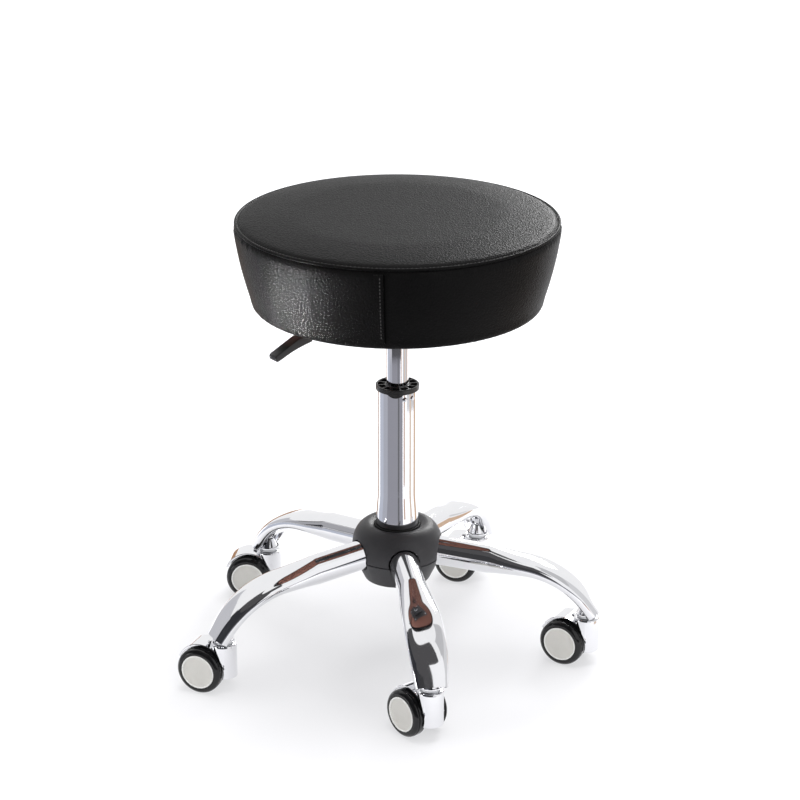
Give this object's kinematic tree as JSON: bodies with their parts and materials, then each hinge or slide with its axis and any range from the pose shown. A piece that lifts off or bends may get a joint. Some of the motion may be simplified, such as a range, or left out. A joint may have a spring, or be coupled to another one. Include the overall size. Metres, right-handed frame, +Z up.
{
  "type": "swivel stool",
  "caption": "Round padded stool on a telescoping gas spring column, with a release lever, a star base of bent tubular legs and swivelling casters.",
  "frame": {"origin": "on the floor, on the column's axis", "axes": "+Z up along the column; -Y along the front leg; the lever points between -X and -Y"},
  "size_m": [0.5458, 0.5104, 0.595],
  "materials": {
    "vinyl": "satin",
    "foam": "matte",
    "plywood": "matte",
    "lining": "matte",
    "black_steel": "satin",
    "steel": "satin",
    "chrome": "polished",
    "black_plastic": "satin",
    "hub_plastic": "satin",
    "gloss_black": "gloss",
    "cap_plastic": "satin",
    "rubber": "matte"
  },
  "bodies": {
    "base": {"hub_core": "black_steel", "hub_cover_upper": "hub_plastic", "hub_cover_lower": "hub_plastic", "stem_sockets": "chrome", "column_tube": "chrome", "guide_bush": "black_plastic", "bush_rivets": "chrome", "collar_ring": "rubber", "thrust_bearing": "steel", "leg_1": "chrome", "leg_2": "chrome", "leg_3": "chrome", "leg_4": "chrome", "leg_5": "chrome"},
    "rod": {"piston_rod": "steel", "rod_clip": "steel", "bump_stop": "rubber", "thrust_washer": "steel"},
    "seat": {"seat_cover": "vinyl", "foam_pad": "foam", "seat_board": "plywood", "underside_lining": "lining", "seat_bolts": "steel", "seat_plate": "black_steel", "taper_socket": "steel", "lever_pin": "steel", "gas_cylinder": "chrome"},
    "lever": {"lever_arm": "black_steel", "lever_paddle": "black_plastic"},
    "button": {"release_button": "steel"},
    "caster_1": {"caster_1_housing": "chrome", "caster_1_pins": "steel"},
    "caster_1_roller_a": {"caster_1_wheel_a": "gloss_black", "caster_1_cap_a": "cap_plastic"},
    "caster_1_roller_b": {"caster_1_wheel_b": "gloss_black", "caster_1_cap_b": "cap_plastic"},
    "caster_2": {"caster_2_housing": "chrome", "caster_2_pins": "steel"},
    "caster_2_roller_a": {"caster_2_wheel_a": "gloss_black", "caster_2_cap_a": "cap_plastic"},
    "caster_2_roller_b": {"caster_2_wheel_b": "gloss_black", "caster_2_cap_b": "cap_plastic"},
    "caster_3": {"caster_3_housing": "chrome", "caster_3_pins": "steel"},
    "caster_3_roller_a": {"caster_3_wheel_a": "gloss_black", "caster_3_cap_a": "cap_plastic"},
    "caster_3_roller_b": {"caster_3_wheel_b": "gloss_black", "caster_3_cap_b": "cap_plastic"},
    "caster_4": {"caster_4_housing": "chrome", "caster_4_pins": "steel"},
    "caster_4_roller_a": {"caster_4_wheel_a": "gloss_black", "caster_4_cap_a": "cap_plastic"},
    "caster_4_roller_b": {"caster_4_wheel_b": "gloss_black", "caster_4_cap_b": "cap_plastic"},
    "caster_5": {"caster_5_housing": "chrome", "caster_5_pins": "steel"},
    "caster_5_roller_a": {"caster_5_wheel_a": "gloss_black", "caster_5_cap_a": "cap_plastic"},
    "caster_5_roller_b": {"caster_5_wheel_b": "gloss_black", "caster_5_cap_b": "cap_plastic"}
  },
  "joints": [
    {"name": "seat_swivel", "type": "hinge", "parent": "base", "child": "rod", "pos_m": [0, 0, 0.109], "axis": [0, 0, 1], "continuous": true},
    {"name": "height_slide", "type": "slide", "parent": "rod", "child": "seat", "axis": [0, 0, 1], "range_m": [-0.06, 0.07]},
    {"name": "lever_lift", "type": "hinge", "parent": "seat", "child": "lever", "pos_m": [-0.03377, -0.01743, 0.4666], "axis": [-0.4587, 0.8886, 0], "range_deg": [0, 6], "stiffness_Nm_per_rad": 0.6, "springref_deg": -8.59},
    {"name": "button_press", "type": "slide", "parent": "seat", "child": "button", "axis": [0, 0, 1], "range_m": [-0.0042, 0]},
    {"name": "caster_1_swivel", "type": "hinge", "parent": "base", "child": "caster_1", "pos_m": [0, -0.2465, 0.03], "axis": [0, 0, 1], "continuous": true},
    {"name": "caster_1_roll_a", "type": "hinge", "parent": "caster_1", "child": "caster_1_roller_a", "pos_m": [-0.01269, -0.22496, 0.03], "axis": [0.8616, 0.5075, 0], "continuous": true},
    {"name": "caster_1_roll_b", "type": "hinge", "parent": "caster_1", "child": "caster_1_roller_b", "pos_m": [-0.01269, -0.22496, 0.03], "axis": [0.8616, 0.5075, 0], "continuous": true},
    {"name": "caster_2_swivel", "type": "hinge", "parent": "base", "child": "caster_2", "pos_m": [0.23444, -0.07617, 0.03], "axis": [0, 0, 1], "continuous": true},
    {"name": "caster_2_roll_a", "type": "hinge", "parent": "caster_2", "child": "caster_2_roller_a", "pos_m": [0.21515, -0.06027, 0.03], "axis": [0.6361, 0.7716, 0], "continuous": true},
    {"name": "caster_2_roll_b", "type": "hinge", "parent": "caster_2", "child": "caster_2_roller_b", "pos_m": [0.21515, -0.06027, 0.03], "axis": [0.6361, 0.7716, 0], "continuous": true},
    {"name": "caster_3_swivel", "type": "hinge", "parent": "base", "child": "caster_3", "pos_m": [0.14489, 0.19942, 0.03], "axis": [0, 0, 1], "continuous": true},
    {"name": "caster_3_roll_a", "type": "hinge", "parent": "caster_3", "child": "caster_3_roller_a", "pos_m": [0.12324, 0.21192, 0.03], "axis": [0.5, 0.866, 0], "continuous": true},
    {"name": "caster_3_roll_b", "type": "hinge", "parent": "caster_3", "child": "caster_3_roller_b", "pos_m": [0.12324, 0.21192, 0.03], "axis": [0.5, 0.866, 0], "continuous": true},
    {"name": "caster_4_swivel", "type": "hinge", "parent": "base", "child": "caster_4", "pos_m": [-0.14489, 0.19942, 0.03], "axis": [0, 0, 1], "continuous": true},
    {"name": "caster_4_roll_a", "type": "hinge", "parent": "caster_4", "child": "caster_4_roller_a", "pos_m": [-0.1688, 0.20673, 0.03], "axis": [0.2924, 0.9563, 0], "continuous": true},
    {"name": "caster_4_roll_b", "type": "hinge", "parent": "caster_4", "child": "caster_4_roller_b", "pos_m": [-0.1688, 0.20673, 0.03], "axis": [0.2924, 0.9563, 0], "continuous": true},
    {"name": "caster_5_swivel", "type": "hinge", "parent": "base", "child": "caster_5", "pos_m": [-0.23444, -0.07617, 0.03], "axis": [0, 0, 1], "continuous": true},
    {"name": "caster_5_roll_a", "type": "hinge", "parent": "caster_5", "child": "caster_5_roller_a", "pos_m": [-0.25552, -0.06274, 0.03], "axis": [0.5373, 0.8434, 0], "continuous": true},
    {"name": "caster_5_roll_b", "type": "hinge", "parent": "caster_5", "child": "caster_5_roller_b", "pos_m": [-0.25552, -0.06274, 0.03], "axis": [0.5373, 0.8434, 0], "continuous": true}
  ],
  "couplings": [
    {"joint": "button_press", "follows": "lever_lift", "m_per_rad": -0.038}
  ]
}
